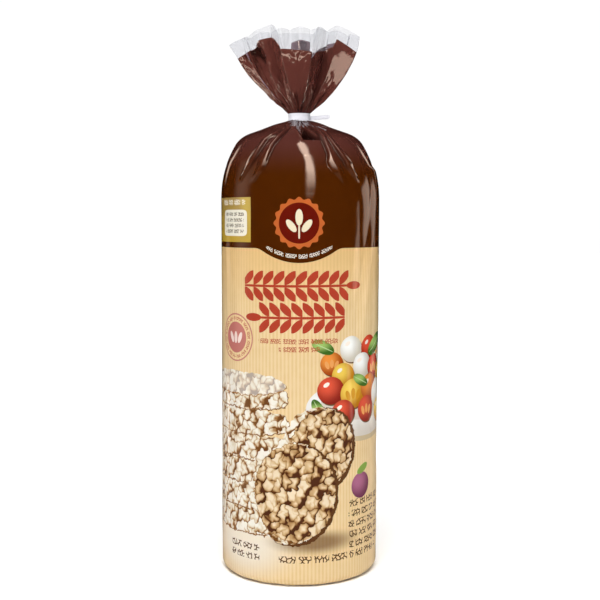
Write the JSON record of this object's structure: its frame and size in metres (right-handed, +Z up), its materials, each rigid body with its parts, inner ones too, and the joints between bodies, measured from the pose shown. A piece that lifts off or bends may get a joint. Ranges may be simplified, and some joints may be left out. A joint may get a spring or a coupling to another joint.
{
  "type": "pack of puffed grain cakes",
  "caption": "Upright round film pack of puffed grain cakes, gathered and tied at the neck under a flared pleated ruffle, with a flat base to stand on.",
  "frame": {"origin": "centre of the flat base, on the pack's axis", "axes": "+Z up along the pack's axis from the base to the ruffle, -Y out of the printed front, +X to the right as seen from the front"},
  "size_m": [0.098, 0.098, 0.3406],
  "materials": {
    "printed_film": "glossy printed packaging film",
    "tie_plastic": "satin white plastic"
  },
  "bodies": {
    "root": {"film_bag": "printed_film", "closure_band": "tie_plastic"}
  },
  "joints": []
}
